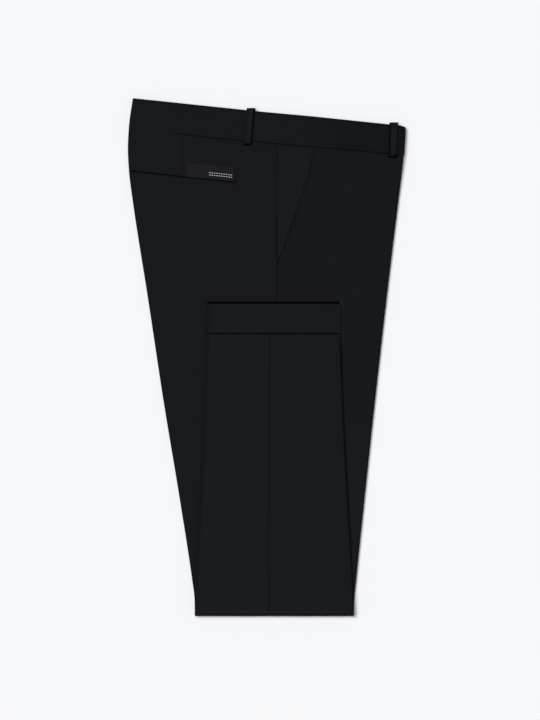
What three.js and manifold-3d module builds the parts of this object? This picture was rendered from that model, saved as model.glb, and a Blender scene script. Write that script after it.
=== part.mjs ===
// Chino trousers, pressed on their creases, laid on their side, with both legs folded up together.
//
// All sizes are in millimetres. While the pieces are made, x runs from the side seam towards the
// front, y runs from the fold at the knees up to the waist, and z is height above the table. The
// group is then centred, so its origin is the middle of its box, at table height.
//
// The wearer's right leg lies on the left leg. Each leg is a flat tube of a back and a front panel.
// Both legs turn up together at the knees, so the left leg is the outer wrap of that fold, and its
// lower half comes out on top. The seat and the fly are tucked in between the two halves.
import * as THREE from "three";
import Module from "manifold-3d";
import { mergeVertices } from "three/addons/utils/BufferGeometryUtils.js";

// ---------------------------------------------------------------- driving dimensions

const CLOTH = 1.0; // wall of one layer of cloth
const SEAM_GAP = 0.3; // between two pieces that are sewn together
const SIDE_SEAM_TOP = 653.7; // height of the waist edge above the knee fold, at the side seam
const WAIST_SLOPE = -0.1045; // the waist falls towards the front
const HEM_HEIGHT = 407.5; // the hem lies this far above the knee fold

const BAND = {
  height: 38.7,
  wall: 1.6,
  proud: 0.5, // how far it stands out from the panels below it
  crease: 8.6, // top of both halves at the creases
  middle: 7.9, // and between them
  under: 1.3, // bottom of the lower half, raised by the loops below it
  backTuck: 40, // the band goes in this far, to the centre back
  frontTuck: 9,
  cornerDrop: 2.2, // the front corner is rounded by wear
};

const CUFF = {
  height: 40,
  wall: 2.2, // three layers of cloth, pressed together
  slit: 0.6, // between the two walls of one leg's cuff
  proud: 1.2, // how far it stands out from its leg
  wider: 0.5, // how far it reaches past its leg on each side
};

const LOOP = { width: 11, wall: 1.3, arch: 0.6, foot: 8, above: 3, below: 4 };
const SIDE_LOOP = { x: -36, lean: 0.095 };
const FRONT_LOOP = { x: 150.8, lean: 0.027 };

const POCKET = {
  // the cut of the back pocket, and the strips of cloth that edge it
  outerEnd: -54,
  length: 136,
  depthBelowWaist: 95.2, // at its outer end
  slope: -0.119,
  lowerJet: 7.5,
  upperJet: 5.5,
  mouth: 0.5,
  proud: 0.3,
};
const LABEL = { outerEnd: -56, length: 62, height: 18.5, wall: 1 };

// The outline of the leg. back and front are the distances from x = 0 to the two creases.
const UPPER_LEG = [
  { up: 0, back: 106.6, front: 100.8, seam: -10.9 },
  { up: 21, back: 106.9, front: 101.1, seam: -10.6 },
  { up: 47, back: 110.0, front: 103.2, seam: -10.0 },
  { up: 151, back: 126.0, front: 113.9, seam: -7.0 },
  { up: 281, back: 147.5, front: 127.8, seam: -3.0 },
  { up: 411, back: 167.2, front: 142.5, seam: 0 },
  { up: 541, back: 187.5, front: 158.2, seam: 0 },
  { up: 580, back: 192.3, front: 163.0, seam: 0 },
  { up: 606, back: 193.6, front: 165.6, seam: 0 },
  { up: 636, back: 192.2, front: 167.4, seam: 0 },
  { up: 673, back: 187.2, front: 168.0, seam: 0 },
];
const LOWER_LEG = [
  { up: 0, back: 106.6, front: 100.8, seam: -10.9 },
  { up: 21, back: 106.3, front: 100.5, seam: -10.9 },
  { up: 83, back: 102.3, front: 96.6, seam: -10.9 },
  { up: 200, back: 96.8, front: 90.2, seam: -10.5 },
  { up: 297, back: 92.7, front: 85.3, seam: -10.0 },
  { up: 352, back: 91.0, front: 83.0, seam: -9.8 },
  { up: 407.5, back: 90.7, front: 82.3, seam: -9.8 },
];

// Heights above the table of the two stacks of cloth. crease is a stack's top along its creases,
// middle its top between them, and base the underside of the stack that is folded up.
const UPPER_STACK = [
  { up: 0, crease: 4.9, middle: 4.9 },
  { up: 40, crease: 4.9, middle: 5.1 },
  { up: 200, crease: 4.9, middle: 5.9 },
  { up: 411, crease: 4.9, middle: 6.4 },
  { up: 673, crease: 5.3, middle: 6.6 },
];
const LOWER_STACK = [
  { up: 0, base: 5.5, crease: 10.4, middle: 10.4, leg: 2.3 },
  { up: 40, base: 5.7, crease: 10.6, middle: 10.8, leg: 2.3 },
  { up: 200, base: 6.5, crease: 11.4, middle: 12.2, leg: 2.3 },
  { up: 300, base: 6.9, crease: 12.2, middle: 13.2, leg: 2.4 },
  { up: 367.5, base: 8.0, crease: 15.6, middle: 15.9, leg: 3.0 },
  { up: 407.5, base: 8.0, crease: 15.6, middle: 15.9, leg: 3.0 },
];

// The mouth of the front pocket slants from the waistband to the side seam.
const POCKET_MOUTH = [
  { up: 457, x: 0 },
  { up: 476, x: 8.2 },
  { up: 497, x: 14.2 },
  { up: 545, x: 31.2 },
  { up: 574, x: 42.4 },
  { up: 616, x: 52.8 },
];
const FACING_DROP = 0.5; // the cloth behind that mouth lies this much lower

const FOLD_STACK = 4.9; // both legs, pressed, at the knee fold
const FOLD_RADIUS = FOLD_STACK + SEAM_GAP; // of the outer wrap of that fold
const CROWN = 45; // the stack rises to its middle height within this distance of a crease
const BAND_RISE = 55; // the cloth comes up to the waistband within this distance of it
const RETURN = 6; // a panel goes on this far past its crease, on the hidden side
const CORE_INSET = 9; // the hidden layers stay this far inside the creases
const CORE_CLEAR = { under: 0.5, over: 0.9 }; // and this far from the cloth around them
const SQUARE = 540; // above this height the rows of a panel turn to follow the waist
const FOLD_STEPS = 8;
const CREASE_STEPS = 4;

// ---------------------------------------------------------------- small functions

const clamp = (v, low, high) => Math.min(Math.max(v, low), high);
const mix = (a, b, t) => a + (b - a) * t;
const smooth = (t) => clamp(t, 0, 1) ** 2 * (3 - 2 * clamp(t, 0, 1));

// A column of a table at some height: a smooth curve through its rows that never overshoots.
function read(table, column, at) {
  const last = table.length - 2;
  const i = clamp(table.findIndex((row) => row.up > at) - 1, 0, last);
  const row = at >= table[last + 1].up ? last : i;
  const slope = (k) =>
    (table[k + 1][column] - table[k][column]) / (table[k + 1].up - table[k].up);
  const tangent = (k) => {
    if (k === 0 || k === last + 1) return slope(Math.min(k, last));
    const [a, b] = [slope(k - 1), slope(k)];
    return a * b <= 0 ? 0 : (2 * a * b) / (a + b);
  };
  const span = table[row + 1].up - table[row].up;
  const t = clamp((at - table[row].up) / span, 0, 1);
  const [p, q] = [table[row][column], table[row + 1][column]];
  const [m, n] = [tangent(row) * span, tangent(row + 1) * span];
  return p + t * (m + t * (3 * (q - p) - 2 * m - n + t * (2 * (p - q) + m + n)));
}

// A closed solid between two grids of points that face each other. With ring, the columns close
// on themselves, and the solid is a tube.
function sheet(outer, inner, ring = false) {
  const rows = outer.length;
  const columns = outer[0].length;
  const points = [...outer.flat(), ...inner.flat()];
  const far = rows * columns;
  const at = (i, j, side) => side * far + i * columns + (j % columns);
  const faces = [];
  const quad = (a, b, c, d) => faces.push([a, b, c], [a, c, d]);
  const across = ring ? columns : columns - 1;
  for (let i = 0; i < rows - 1; i += 1) {
    for (let j = 0; j < across; j += 1) {
      quad(at(i, j, 0), at(i, j + 1, 0), at(i + 1, j + 1, 0), at(i + 1, j, 0));
      quad(at(i, j, 1), at(i + 1, j, 1), at(i + 1, j + 1, 1), at(i, j + 1, 1));
    }
  }
  for (let j = 0; j < across; j += 1) {
    quad(at(0, j, 0), at(0, j, 1), at(0, j + 1, 1), at(0, j + 1, 0));
    quad(at(rows - 1, j, 0), at(rows - 1, j + 1, 0), at(rows - 1, j + 1, 1), at(rows - 1, j, 1));
  }
  for (let i = 0; i < rows - 1 && !ring; i += 1) {
    quad(at(i, 0, 0), at(i + 1, 0, 0), at(i + 1, 0, 1), at(i, 0, 1));
    const j = columns - 1;
    quad(at(i, j, 0), at(i, j, 1), at(i + 1, j, 1), at(i + 1, j, 0));
  }
  return geometryOf(points, faces);
}

// Triangles as a geometry, turned the right way round by the sign of their volume.
function geometryOf(points, faces) {
  const volume = faces.reduce((sum, [a, b, c]) => {
    const normal = points[b].clone().cross(points[c]);
    return sum + points[a].dot(normal);
  }, 0);
  const facing = volume < 0 ? faces.map(([a, b, c]) => [a, c, b]) : faces;
  const geometry = new THREE.BufferGeometry().setFromPoints(points);
  geometry.setIndex(facing.flat());
  geometry.computeVertexNormals();
  return geometry;
}

const steps = (count) => Array.from({ length: count + 1 }, (_, i) => i / count);
const point = (x, y, z) => new THREE.Vector3(x, y, z);

// ---------------------------------------------------------------- the lie of the cloth

const legOf = (run) => (run === "lower" ? LOWER_LEG : UPPER_LEG);
const creaseAt = (run, side, y) =>
  side * read(legOf(run), side < 0 ? "back" : "front", y);

const frontCorner = (x) => {
  const fromCrease = creaseAt("upper", 1, SIDE_SEAM_TOP) - x;
  return BAND.cornerDrop * clamp(1 - fromCrease / 9, 0, 1) ** 2;
};
const bandSeam = (x) => SIDE_SEAM_TOP + WAIST_SLOPE * x - BAND.height;
const bandEdge = (x) => SIDE_SEAM_TOP + WAIST_SLOPE * x - frontCorner(x);
const toBand = (x, y) => smooth(1 - (bandSeam(x) - y) / BAND_RISE);

// Distance to the nearer crease of the leg.
const fromCrease = (run, x, y) =>
  Math.min(x - creaseAt(run, -1, y), creaseAt(run, 1, y) - x);
const crown = (distance) => 1 - clamp(1 - distance / CROWN, 0, 1) ** 2;

// The waistband is four walls thick where it is tucked, and thinner between the tucks.
function bandTop(x) {
  const back = x + 190 - BAND.backTuck;
  const front = 166 - x - BAND.frontTuck;
  const thin = smooth(back / 30) * smooth(front / 30);
  return mix(BAND.crease, BAND.middle, thin);
}

// Top of the upper stack, which is the right leg's outer face.
function upperTop(x, y) {
  const low = read(UPPER_STACK, "crease", y);
  const high = read(UPPER_STACK, "middle", y);
  const laid = mix(low, high, crown(fromCrease("upper", x, y)));
  return mix(laid, bandTop(x) - BAND.proud, toBand(x, y));
}

// Underside of the lowest cloth, which is the left leg's outer face.
const upperUnder = (x, y) => toBand(x, y) * (BAND.under + BAND.proud);

// Top of the legs that are folded up, which is the left leg's outer face again.
function foldedTop(x, y) {
  const low = read(LOWER_STACK, "crease", y);
  const high = read(LOWER_STACK, "middle", y);
  return mix(low, high, crown(fromCrease("lower", x, y)));
}

// A station is one row of a panel. Its place() takes x and the depth of a point inside the wrap
// that the left leg's outer face makes, and gives the point.
const upperStation = (rowHeight) => ({
  run: "upper",
  y: rowHeight,
  place: (x, depth) => point(x, rowHeight(x), depth),
});
const foldStation = (turn) => ({
  run: "fold",
  y: () => 0,
  place: (x, depth) =>
    point(
      x,
      FOLD_RADIUS - (FOLD_RADIUS - depth) * Math.sin(turn * Math.PI),
      FOLD_RADIUS - (FOLD_RADIUS - depth) * Math.cos(turn * Math.PI),
    ),
});
const lowerStation = (y) => ({
  run: "lower",
  y: () => y,
  place: (x, depth) => point(x, y, foldedTop(x, y) - depth),
});

const LEVEL_ROWS = [21, 60, 110, 170, 240, 320, 411, 457, 463, 476, 497, 519, SQUARE];
const WAIST_ROWS = [0.25, 0.5, 0.75, 1];
const FOLDED_ROWS = [21, 83, 140, 200, 260, 300, 340];

// The stations from the waist, down the upper leg, round the fold and up the lower leg.
function stations(waistGap, cuffGap) {
  const waist = WAIST_ROWS.map((share) => (x) => mix(SQUARE, bandSeam(x) - waistGap, share));
  const level = LEVEL_ROWS.map((y) => () => y);
  const folded = [...FOLDED_ROWS, HEM_HEIGHT - CUFF.height - cuffGap];
  return [
    ...[...level, ...waist].reverse().map(upperStation),
    ...steps(FOLD_STEPS).map(foldStation),
    ...folded.map(lowerStation),
  ];
}

// x where a row meets a line that is given by height, found in a few turns.
function meet(station, line) {
  let x = 0;
  for (let turn = 0; turn < 6; turn += 1) x = line(station.y(x));
  return x;
}

// ---------------------------------------------------------------- leg panels

const LEFT = 1; // the direction from a leg's outer face to its inside, in depth
const RIGHT = -1;
const BACK = -1;
const FRONT = 1;

const legRun = (station) => (station.run === "lower" ? "lower" : "upper");

// Depth of a leg's outer face at x.
function faceDepth(leg, station, x) {
  const y = station.y(x);
  if (station.run === "upper") return leg === LEFT ? upperUnder(x, y) : upperTop(x, y);
  if (leg === LEFT) return 0;
  if (station.run === "fold") return FOLD_STACK;
  return foldedTop(x, y) - read(LOWER_STACK, "base", y);
}

// How thick one leg is at its crease: half of the stack, or what the table says near the cuff.
function legThickness(station, x) {
  if (station.run === "lower") return read(LOWER_STACK, "leg", station.y(x));
  const stack = faceDepth(RIGHT, station, x) - faceDepth(LEFT, station, x);
  return (stack - SEAM_GAP) / 2;
}

// x of the pocket mouth at some height, or of the side seam below it.
const pocketMouth = (y) => (y < POCKET_MOUTH[0].up ? 0 : read(POCKET_MOUTH, "x", y));
const sideSeam = (station) => meet(station, (y) => read(legOf(legRun(station)), "seam", y));

// x of the edge of a panel that isn't creased.
function seamEdge(station, leg, side) {
  const seam = sideSeam(station) + (side * SEAM_GAP) / 2;
  const pocketed = leg === RIGHT && side === FRONT && station.run === "upper";
  return pocketed ? Math.max(seam, meet(station, pocketMouth) + SEAM_GAP / 2) : seam;
}

// One row of a panel: from the side seam to the crease, round it, and a little way back inside.
function panelRow(station, leg, side) {
  const crease = meet(station, (y) => creaseAt(legRun(station), side, y));
  const radius = legThickness(station, crease) / 2;
  const face = faceDepth(leg, station, crease);
  const turnX = crease - side * radius;
  const turnDepth = face + leg * radius;
  const flat = [seamEdge(station, leg, side), ...[45, 18, 6].map((d) => crease - side * d), turnX];
  const outer = flat.map((x) => [x, faceDepth(leg, station, x)]);
  const inner = outer.map(([x, depth]) => [x, depth + leg * CLOTH]);
  for (const share of steps(CREASE_STEPS).slice(1)) {
    const out = side * Math.sin(share * Math.PI);
    const down = -leg * Math.cos(share * Math.PI);
    outer.push([turnX + radius * out, turnDepth + radius * down]);
    inner.push([turnX + (radius - CLOTH) * out, turnDepth + (radius - CLOTH) * down]);
  }
  outer.push([turnX - side * RETURN, turnDepth + leg * radius]);
  inner.push([turnX - side * RETURN, turnDepth + leg * (radius - CLOTH)]);
  const placed = (row) => row.map(([x, depth]) => station.place(x, depth));
  return [placed(outer), placed(inner)];
}

function panel(leg, side) {
  const rows = stations(SEAM_GAP, SEAM_GAP).map((station) => panelRow(station, leg, side));
  return sheet(rows.map((row) => row[0]), rows.map((row) => row[1]));
}

// The inner panels of both legs, with the tucked seat and fly, as one soft slab that is turned up
// with them. Its edges are notched, as two layers are.
function hiddenLayers() {
  const inside = stations(14, 2).map((station) => {
    const [back, front] = [BACK, FRONT].map(
      (side) => meet(station, (y) => creaseAt(legRun(station), side, y)) - side * CORE_INSET,
    );
    const columns = [back, back + 1.2, back + 40, 0, front - 40, front - 1.2, front];
    const near = columns.map((x) => faceDepth(LEFT, station, x) + CLOTH + CORE_CLEAR.under);
    const far = columns.map((x) => faceDepth(RIGHT, station, x) - CLOTH - CORE_CLEAR.over);
    const middle = columns.map((_, k) => (near[k] + far[k]) / 2);
    const rim = [0, columns.length - 1];
    const low = near.map((d, k) => (rim.includes(k) ? mix(d, middle[k], 0.45) : d));
    const high = far.map((d, k) => (rim.includes(k) ? mix(d, middle[k], 0.45) : d));
    const notch = [back + 2.5, front - 2.5];
    const row = (depths) => columns.map((x, k) => station.place(x, depths[k]));
    return { low: row(low), high: row(high), notch, middle, station };
  });
  // Each side's notch is a last column that both faces share in height.
  const closed = (which, sign) =>
    inside.map(({ notch, middle, station, ...faces }) => [
      station.place(notch[0], middle[0] + sign * 0.05),
      ...faces[which],
      station.place(notch[1], middle.at(-1) + sign * 0.05),
    ]);
  return sheet(closed("low", -1), closed("high", 1));
}

// ---------------------------------------------------------------- pieces that lie on a panel

// A small sheet that follows the right leg. place gives x and y of each column and row, and its
// lower and upper faces lie at two heights from the leg's outer face.
function patch(columns, rows, place, heights) {
  const grid = (height) =>
    rows.map((v) =>
      columns.map((u) => {
        const [x, y] = place(u, v);
        return point(x, y, upperTop(x, y) + height);
      }),
    );
  return sheet(grid(heights[1]), grid(heights[0]));
}

// The cloth behind the front pocket's mouth, which shows as a long triangle.
function pocketFacing() {
  const open = (station) => station.run === "upper" && station.y(0) > POCKET_MOUTH[0].up;
  const place = (u, station) => {
    const x = mix(SEAM_GAP / 2, meet(station, pocketMouth) - SEAM_GAP / 2, u);
    return [x, station.y(x)];
  };
  const rows = stations(SEAM_GAP, SEAM_GAP).filter(open);
  return patch(steps(3), rows, place, [-FACING_DROP - CLOTH, -FACING_DROP]);
}

// A strip along the back pocket, from one height above its mouth to another.
function pocketStrip(from, to, low, high, margin = 0) {
  const place = (u, v) => {
    const x = mix(POCKET.outerEnd + margin, POCKET.outerEnd - POCKET.length - margin, u);
    return [x, pocketLine(x) + mix(from, to, v)];
  };
  return patch(steps(8), [0, 1], place, [low, high]);
}
const pocketLine = (x) =>
  SIDE_SEAM_TOP -
  POCKET.depthBelowWaist +
  WAIST_SLOPE * POCKET.outerEnd +
  POCKET.slope * (x - POCKET.outerEnd);

function label() {
  const place = (u, v) => {
    const x = LABEL.outerEnd - LABEL.length * u;
    return [x, pocketLine(x) + POCKET.mouth + LABEL.height * v];
  };
  const low = POCKET.proud + SEAM_GAP;
  return patch(steps(5), steps(2), place, [low, low + LABEL.wall]);
}

// A belt loop: a strap with turned ends, which is arched between them for the belt. Its top end
// hooks over the edge of the band. On the lower half it lies flat under the band.
function beltLoop({ x: centre, lean }, lower) {
  const bottom = bandSeam(centre) - LOOP.below;
  const edge = bandEdge(centre);
  const top = edge + LOOP.above;
  const rows = [bottom, bottom + 0.5, bottom + LOOP.foot, bottom + LOOP.foot + 4];
  rows.push(edge - LOOP.foot - 4, edge - LOOP.foot, edge + 0.8, edge + 1, top - 0.5, top);
  const arch = [0, 0, 0, 1, 1, 0, 0, 0, 0, 0];
  const hook = [0, 0, 0, 0, 0, 0, 0, 1, 1, 1];
  const rounding = [0.4, 0, 0, 0, 0, 0, 0, 0, 0, 0.5];
  const across = [-0.5, -0.42, 0.42, 0.5];
  const corner = [0.35, 0, 0, 0.35];
  const face = (side) =>
    rows.map((y, i) =>
      across.map((u, j) => {
        const x = centre + lean * (y - edge + BAND.height / 2) + u * LOOP.width;
        const round = rounding[i] + corner[j];
        const tip = hook[i] * BAND.wall;
        if (lower) return point(x, y, side ? BAND.under - SEAM_GAP + tip * 0.8 - round : round * 0.5);
        const under = SEAM_GAP + arch[i] * LOOP.arch - tip;
        const over = SEAM_GAP + LOOP.wall + arch[i] * LOOP.arch - round;
        return point(x, y, bandTop(x) + (side ? over : under));
      }),
    );
  return sheet(face(1), face(0));
}

// ---------------------------------------------------------------- waistband and cuffs

// Half of the waistband: a double band that goes round both creases and is tucked inside.
function waistband(leg) {
  const foot = (x) => bandSeam(x);
  const head = (x) => bandEdge(x);
  const profile = [
    { v: 0, inset: 0 },
    { v: 0.2, inset: 0 },
    { v: 0.6, inset: 0 },
    { v: 0.975, inset: 0 },
    { v: 0.994, inset: 0.25 },
    { v: 1, inset: 0.65 },
  ];
  const outerRows = [];
  const innerRows = [];
  for (const { v, inset } of profile) {
    const station = { run: "upper", y: (x) => mix(foot(x), head(x), v) };
    const turn = (side) => {
      const edge = side > 0 ? 0.8 : 0; // the front end stands a little past the panel
      const crease = meet(station, (y) => creaseAt("upper", side, y)) + side * edge;
      const radius = BAND.wall + SEAM_GAP / 2;
      const face = leg === LEFT ? BAND.under : bandTop(crease);
      const turnX = crease - side * radius;
      const depth = face + leg * radius;
      const tuck = side < 0 ? BAND.backTuck : BAND.frontTuck;
      const arc = steps(CREASE_STEPS).map((share) => {
        const out = side * Math.sin(share * Math.PI);
        const down = -leg * Math.cos(share * Math.PI);
        const ring = (r) => [turnX + r * out, depth + r * down];
        return [ring(radius - inset), ring(radius - BAND.wall + inset)];
      });
      const end = [
        [turnX - side * tuck, depth + leg * (radius - inset)],
        [turnX - side * tuck, depth + leg * (radius - BAND.wall + inset)],
      ];
      return [...arc, end];
    };
    const flat = [-145, -115, -60, 0, 60, 120, 145].map((x) => {
      const face = leg === LEFT ? BAND.under : bandTop(x);
      return [
        [x, face + leg * inset],
        [x, face + leg * (BAND.wall - inset)],
      ];
    });
    const row = [...turn(BACK).reverse(), ...flat, ...turn(FRONT)];
    const placed = (k) => row.map((pair) => point(pair[k][0], station.y(pair[k][0]), pair[k][1]));
    outerRows.push(placed(0));
    innerRows.push(placed(1));
  }
  return sheet(outerRows, innerRows);
}

// A turned-up cuff: a flat sleeve round one leg, which is open at both ends.
function cuff(leg) {
  const thick = 2 * CUFF.wall + CUFF.slit;
  const rows = [
    { y: HEM_HEIGHT - CUFF.height, inset: 0.35 },
    { y: HEM_HEIGHT - CUFF.height + 0.6, inset: 0 },
    { y: HEM_HEIGHT - CUFF.height / 2, inset: 0 },
    { y: HEM_HEIGHT - 1, inset: 0 },
    { y: HEM_HEIGHT, inset: 0.7 },
  ];
  const loop = ({ y, inset }, radius) => {
    const lift = leg === LEFT ? thick + SEAM_GAP : 0;
    const middle = read(LOWER_STACK, "base", y) - CUFF.proud + lift + thick / 2;
    const turned = (side) => {
      const turnX = creaseAt("lower", side, y) + side * (CUFF.wider - thick / 2);
      return steps(CREASE_STEPS + 2).map((share) => {
        const angle = share * Math.PI;
        const out = turnX + side * (radius - inset) * Math.sin(angle);
        return point(out, y, middle + side * (radius - inset) * Math.cos(angle));
      });
    };
    const [back, front] = [turned(BACK), turned(FRONT)];
    return [...back, ...[-50, 0, 50].map((x) => point(x, y, front[0].z)), ...front,
      ...[50, 0, -50].map((x) => point(x, y, back[0].z))];
  };
  const outer = rows.map((row) => loop(row, thick / 2));
  const inner = rows.map((row) => loop({ ...row, inset: -row.inset * 0.2 }, CUFF.slit / 2));
  return sheet(outer, inner, true);
}

// ---------------------------------------------------------------- joining and cutting

const wasm = await Module();
wasm.setup();

function solidOf(geometry) {
  const bare = new THREE.BufferGeometry();
  bare.setAttribute("position", geometry.getAttribute("position"));
  bare.setIndex(geometry.index);
  const merged = mergeVertices(bare);
  const vertProperties = merged.attributes.position.array;
  const triVerts = new Uint32Array(merged.index.array);
  return new wasm.Manifold(new wasm.Mesh({ numProp: 3, vertProperties, triVerts }));
}

function cut(geometry, tool) {
  const left = solidOf(geometry).subtract(solidOf(tool)).getMesh();
  const made = new THREE.BufferGeometry();
  made.setAttribute("position", new THREE.BufferAttribute(left.vertProperties, 3));
  made.setIndex(new THREE.BufferAttribute(left.triVerts, 1));
  made.computeVertexNormals();
  return made;
}

// The back panel of the upper leg, with the slot that the pocket's edging strips fill.
const pocketSlot = pocketStrip(-POCKET.lowerJet, POCKET.upperJet, -1.3, 2, SEAM_GAP);
const rightBack = cut(panel(RIGHT, BACK), pocketSlot);
const jetDepth = SEAM_GAP - CLOTH;

// ---------------------------------------------------------------- the trousers

const cloth = () => new THREE.MeshStandardMaterial({ color: 0x1b1d21, roughness: 0.9 });
const satin = () => new THREE.MeshStandardMaterial({ color: 0x232324, roughness: 0.5 });

const pieces = [
  ["right_back", rightBack, cloth()],
  ["right_front", panel(RIGHT, FRONT), cloth()],
  ["left_back", panel(LEFT, BACK), cloth()],
  ["left_front", panel(LEFT, FRONT), cloth()],
  ["hidden_layers", hiddenLayers(), cloth()],
  ["pocket_facing", pocketFacing(), cloth()],
  [
    "back_pocket_lower_jet",
    pocketStrip(SEAM_GAP - POCKET.lowerJet, -POCKET.mouth / 2, jetDepth, POCKET.proud),
    cloth(),
  ],
  [
    "back_pocket_upper_jet",
    pocketStrip(POCKET.mouth / 2, POCKET.upperJet - SEAM_GAP, jetDepth, POCKET.proud),
    cloth(),
  ],
  ["label", label(), satin()],
  ["right_waistband", waistband(RIGHT), cloth()],
  ["left_waistband", waistband(LEFT), cloth()],
  ["right_side_loop", beltLoop(SIDE_LOOP, false), cloth()],
  ["right_front_loop", beltLoop(FRONT_LOOP, false), cloth()],
  ["left_side_loop", beltLoop(SIDE_LOOP, true), cloth()],
  ["left_front_loop", beltLoop(FRONT_LOOP, true), cloth()],
  ["right_cuff", cuff(RIGHT), cloth()],
  ["left_cuff", cuff(LEFT), cloth()],
];

const trousers = new THREE.Group();
for (const [name, geometry, material] of pieces) {
  const mesh = new THREE.Mesh(geometry, material);
  mesh.name = name;
  trousers.add(mesh);
}

const box = new THREE.Box3().setFromObject(trousers);
const centre = box.getCenter(new THREE.Vector3());
trousers.position.set(-centre.x, -centre.y, -box.min.z);

export default trousers;
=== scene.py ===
from bisect import bisect_right
from itertools import accumulate, pairwise
from math import cos, dist, exp, hypot, pi, radians, sin, sqrt

import bmesh
import bpy
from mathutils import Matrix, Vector, noise


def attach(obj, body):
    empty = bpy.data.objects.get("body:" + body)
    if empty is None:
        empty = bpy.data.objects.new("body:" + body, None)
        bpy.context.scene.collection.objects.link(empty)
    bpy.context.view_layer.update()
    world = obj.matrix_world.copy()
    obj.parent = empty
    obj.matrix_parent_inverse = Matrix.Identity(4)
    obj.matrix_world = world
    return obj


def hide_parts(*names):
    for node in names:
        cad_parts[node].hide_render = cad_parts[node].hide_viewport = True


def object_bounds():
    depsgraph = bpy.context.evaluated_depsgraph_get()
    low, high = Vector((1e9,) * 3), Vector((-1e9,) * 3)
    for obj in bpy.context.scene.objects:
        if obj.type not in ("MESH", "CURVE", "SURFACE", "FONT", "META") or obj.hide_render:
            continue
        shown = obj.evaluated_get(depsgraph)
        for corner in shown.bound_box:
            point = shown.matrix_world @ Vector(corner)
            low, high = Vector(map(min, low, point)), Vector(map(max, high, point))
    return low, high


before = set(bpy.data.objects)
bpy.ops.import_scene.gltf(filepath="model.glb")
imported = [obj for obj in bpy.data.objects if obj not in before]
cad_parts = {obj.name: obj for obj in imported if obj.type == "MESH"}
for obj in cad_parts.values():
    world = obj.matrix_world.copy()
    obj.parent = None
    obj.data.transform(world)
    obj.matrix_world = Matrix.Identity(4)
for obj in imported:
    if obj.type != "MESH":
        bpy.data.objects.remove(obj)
cad_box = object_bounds()

# --- Studio
# A pale table top under a wide softbox overhead and a smaller one from the upper left, with a
# camera straight above on a long lens. The trousers lie on the table, so it is at their underside.

MM = 0.001

scene = bpy.context.scene
scene.view_settings.view_transform = "Standard"

VIEW_HEIGHT = 936 * MM  # what the picture's long side takes in
LENS = 200
SENSOR = 36
bpy.ops.object.camera_add(location=(4.0 * MM, -3.6 * MM, VIEW_HEIGHT / SENSOR * LENS + 6 * MM))
camera = bpy.context.object
camera.name = "overhead_camera"
camera.data.lens = LENS
camera.data.sensor_width = SENSOR
scene.camera = camera


def linear(hex_colour):
    """An sRGB hex colour as linear red, green, blue and alpha."""
    parts = [int(hex_colour[k : k + 2], 16) / 255 for k in (1, 3, 5)]
    return (*[c / 12.92 if c <= 0.04045 else ((c + 0.055) / 1.055) ** 2.4 for c in parts], 1)


def node(material, kind, values=None, links=None, **settings):
    """Add a node with its settings, its sockets' values and the links into its sockets."""
    made = material.node_tree.nodes.new("ShaderNode" + kind)
    for name, value in settings.items():
        setattr(made, name, value)
    for socket, value in (values or {}).items():
        made.inputs[socket].default_value = value
    for socket, source in (links or {}).items():
        material.node_tree.links.new(source, made.inputs[socket])
    return made


def new_material(name):
    made = bpy.data.materials.new(name)
    made.use_nodes = True
    made.node_tree.nodes.clear()
    return made


def shade(material, values, links=None):
    """Give a material its shader, with values and links, and its output."""
    shader = node(material, "BsdfPrincipled", values, links)
    node(material, "OutputMaterial", links={"Surface": shader.outputs[0]})


def between(material, low, high, factor):
    """A colour between two hex colours, by a socket."""
    colours = {6: linear(low), 7: linear(high)}
    return node(material, "Mix", colours, {"Factor": factor}, data_type="RGBA").outputs[2]


# Matt white laminate: it only carries the soft shadow.
laminate = new_material("white_laminate")
shade(laminate, {"Base Color": linear("#e9ecf0"), "Roughness": 0.9, "Specular IOR Level": 0.1})

bpy.ops.mesh.primitive_plane_add(size=14, location=(0, 0, -0.2 * MM))
table_top = bpy.context.object
table_top.name = "table_top"
table_top.data.materials.append(laminate)


def soft_light(name, lean, energy, softness):
    """Parallel soft light that leans from the upper left by two angles, about x and y."""
    bpy.ops.object.light_add(type="SUN", rotation=(radians(-lean[0]), radians(-lean[1]), 0))
    lamp = bpy.context.object
    lamp.name = name
    lamp.data.energy = energy
    lamp.data.angle = radians(softness)
    lamp.data.color = linear("#fffdfa")[:3]


soft_light("overhead_softbox", (4, 12), 1.76, 40)
soft_light("side_softbox", (20, 28), 1.61, 24)

world = bpy.data.worlds.new("pale_room")
world.use_nodes = True
room = world.node_tree.nodes["Background"]
room.inputs["Color"].default_value = linear("#fbfcff")
room.inputs["Strength"].default_value = 0.17
scene.world = world

# --- How the pressed legs lie
# Both legs are flat tubes of twill, pressed on their creases and turned up together at the knees.
# Sizes here are in millimetres: x from the side seam to the front, y up from the knee fold, z up
# from the table.

WALL = 0.9  # the twill with what it is folded over
GAP = 0.3  # between two pieces of the solids
WAIST = 653.7  # the waist edge above the knee fold, at the side seam
WAIST_SLOPE = -0.1045
HEM = 407.5
BACK_REACH = 193.6  # from the side seam to the widest place of the seat
BAND = {"height": 38.7, "wall": 1.6, "proud": 0.5, "crease": 8.6, "middle": 7.9, "under": 1.3}
BAND_TUCK = {-1: 40, 1: 9}  # how far the band goes in at the seat and at the fly
CUFF = {"height": 40, "wall": 2.2, "slit": 0.6, "proud": 1.2, "wider": 0.5}


def table(names, *rows):
    """One list for each named column of a table."""
    return {name: [row[k] for row in rows] for k, name in enumerate(names.split())}


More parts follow.
